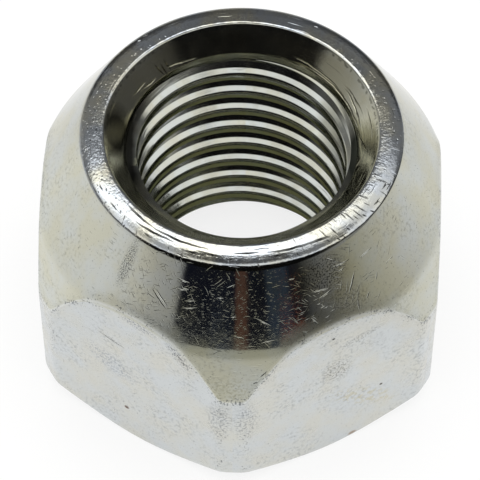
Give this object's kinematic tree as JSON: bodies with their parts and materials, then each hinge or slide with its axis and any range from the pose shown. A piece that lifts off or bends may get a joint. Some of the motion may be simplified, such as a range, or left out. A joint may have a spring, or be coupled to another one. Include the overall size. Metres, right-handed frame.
{
  "type": "lug nut",
  "caption": "Open-ended hexagon wheel lug nut with a conical seat, a crowned rim and a countersunk through thread, bright zinc plated and scuffed.",
  "frame": {"origin": "centre of the base, on the surface that the hexagon end stands on", "axes": "+Z along the thread axis towards the rim of the conical seat, -Y towards one corner of the hexagon"},
  "size_m": [0.0206, 0.023, 0.0156],
  "materials": {
    "zinc_plated_steel": "bright zinc plate over forged steel, with fine scuffs and scratches"
  },
  "bodies": {
    "root": {"lug_nut": "zinc_plated_steel"}
  },
  "joints": []
}
